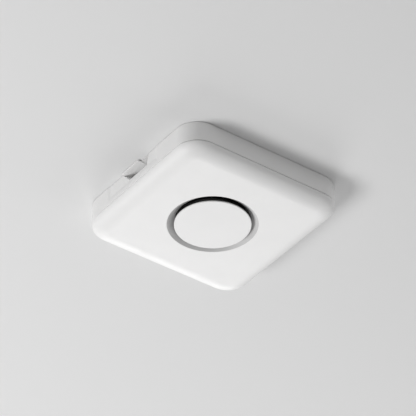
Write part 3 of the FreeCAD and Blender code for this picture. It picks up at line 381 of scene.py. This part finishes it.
def leaf_spring(materials):
    """Leaf spring of the catch with rolled bends, in one fixed shape."""
    path = [Vector((y * MM, z * MM)) for y, z in LEAF_PATH]
    neighbours = zip([path[0], *path], path, [*path[1:], path[-1]])
    shape = bmesh.new()
    sections = [leaf_section(shape, *points) for points in neighbours]
    for near, far in zip(sections, sections[1:]):
        for corner in range(len(near)):
            following = (corner + 1) % len(near)
            shape.faces.new((near[corner], near[following], far[following], far[corner]))
    shape.faces.new(sections[0])
    shape.faces.new(sections[-1][::-1])
    bmesh.ops.recalc_face_normals(shape, faces=shape.faces)
    mesh = bpy.data.meshes.new("leaf_spring")
    shape.to_mesh(mesh)
    shape.free()
    mesh.materials.append(materials["spring_steel"])
    leaf = bpy.data.objects.new("leaf_spring", mesh)
    SCENE.collection.objects.link(leaf)
    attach(leaf, "ceiling_bracket")
    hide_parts("catch_leaf")
    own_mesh(leaf)


# ---------------------------------------------------------------- stage
PAINT_ROUGHNESS = 0.9
PAINT_SPECULAR = 0.1

CEILING_GAP = 0.2 * MM          # ceiling just above the plane that the bracket touches
CEILING_HALF = 1.5
CEILING_TONE = 0.70
OPENING_INSET = 4 * MM          # the ceiling's opening is this much inside the unit's outline
OPENING_R = 18 * MM
OPENING_STEPS = 8               # per rounded corner; even, so that a point lies on the diagonal

FLOOR_Z = -3.3
FLOOR_HALF = 60.0               # wide, so that its edge stays near the horizon in views from above
FLOOR_TONE = 0.88


def plain_surface(name, tone, one_sided):
    """Matt pale paint; one-sided paint lets rays from behind pass."""
    material = bpy.data.materials.new(name)
    material.use_nodes = True
    tree = material.node_tree
    paint = tree.nodes["Principled BSDF"]
    paint.inputs["Base Color"].default_value = (*grey(tone), 1.0)
    paint.inputs["Roughness"].default_value = PAINT_ROUGHNESS
    paint.inputs["Specular IOR Level"].default_value = PAINT_SPECULAR
    if one_sided:
        output = tree.nodes["Material Output"]
        side = tree.nodes.new("ShaderNodeNewGeometry")
        clear = tree.nodes.new("ShaderNodeBsdfTransparent")
        mix = tree.nodes.new("ShaderNodeMixShader")
        tree.links.new(side.outputs["Backfacing"], mix.inputs["Fac"])
        tree.links.new(paint.outputs["BSDF"], mix.inputs[1])
        tree.links.new(clear.outputs["BSDF"], mix.inputs[2])
        tree.links.new(mix.outputs["Shader"], output.inputs["Surface"])
    return material


def rounded_outline(half, radius, steps):
    """Points of a rounded square, anticlockwise from above."""
    quarter_turn = math.pi / 2
    points = []
    for quarter in range(4):
        turn = quarter_turn * quarter
        centre = Matrix.Rotation(turn, 2) @ Vector((half - radius, half - radius))
        for step in range(steps + 1):
            angle = turn + quarter_turn * step / steps
            points.append(centre + radius * Vector((math.cos(angle), math.sin(angle))))
    return points


def make_ceiling():
    """Pale ceiling seen from below, with an opening above the unit so that its back shows from above."""
    half = (CAD_BOUNDS[1][0] - CAD_BOUNDS[0][0]) / 2 - OPENING_INSET
    outline = rounded_outline(half, OPENING_R, OPENING_STEPS)
    shape = bmesh.new()
    inner = [shape.verts.new((*point, CEILING_GAP)) for point in outline]
    outer = []
    for point in outline:
        reach = CEILING_HALF / max(abs(point.x), abs(point.y))
        outer.append(shape.verts.new((*(point * reach), CEILING_GAP)))
    for i in range(len(inner)):
        j = (i + 1) % len(inner)
        shape.faces.new((inner[i], inner[j], outer[j], outer[i]))   # wound to face down
    mesh = bpy.data.meshes.new("ceiling")
    shape.to_mesh(mesh)
    shape.free()
    ceiling = bpy.data.objects.new("ceiling", mesh)
    mesh.materials.append(plain_surface("ceiling_paint", CEILING_TONE, one_sided=True))
    SCENE.collection.objects.link(ceiling)


def make_floor():
    """Plain pale floor, far below."""
    mesh = bpy.data.meshes.new("floor")
    sides = ((-1, -1), (1, -1), (1, 1), (-1, 1))
    corners = [(x_side * FLOOR_HALF, y_side * FLOOR_HALF, FLOOR_Z) for x_side, y_side in sides]
    mesh.from_pydata(corners, [], [(0, 1, 2, 3)])
    floor = bpy.data.objects.new("floor", mesh)
    mesh.materials.append(plain_surface("floor_paint", FLOOR_TONE, one_sided=False))
    SCENE.collection.objects.link(floor)


# ---------------------------------------------------------------- light
WORLD_COLOUR = (1.0, 1.0, 1.0, 1.0)
WORLD_STRENGTH = 0.37
LIGHT_DISTANCE = 2.4
LIGHTS = (                      # name, azimuth and elevation in degrees, size in m, power in W
    ("left_light", 150.0, -20.0, 1.0, 20.0),
    ("key_light", 240.0, -45.0, 1.0, 34.5),
    ("rear_fill", 90.0, -20.0, 1.0, 7.0),
    ("top_light", 135.0, 60.0, 1.2, 40.0),
)


def area_light(name, azimuth, elevation, size, power):
    """Square soft light aimed at the unit and not seen itself; azimuth runs from +X towards +Y."""
    data = bpy.data.lights.new(name, "AREA")
    data.size = size
    data.energy = power
    light = bpy.data.objects.new(name, data)
    turn, rise = math.radians(azimuth), math.radians(elevation)
    outward = Vector((math.cos(turn) * math.cos(rise), math.sin(turn) * math.cos(rise), math.sin(rise)))
    light.location = LIGHT_DISTANCE * outward
    light.rotation_euler = (CAMERA_AIM - light.location).to_track_quat("-Z", "Y").to_euler()
    light.visible_camera = False
    SCENE.collection.objects.link(light)


def make_lights():
    """Area lights round and above the unit, in an even pale world."""
    for light in LIGHTS:
        area_light(*light)
    world = bpy.data.worlds.new("studio")
    world.use_nodes = True
    background = world.node_tree.nodes["Background"]
    background.inputs["Color"].default_value = WORLD_COLOUR
    background.inputs["Strength"].default_value = WORLD_STRENGTH
    SCENE.world = world
    SCENE.view_settings.view_transform = "Standard"


make_camera()
MATERIALS = {name: make(name, **values) for name, (make, values) in FINISHES.items()}
finish_nodes(MATERIALS)
leaf_spring(MATERIALS)
make_ceiling()
make_floor()
make_lights()
bpy.context.view_layer.update()
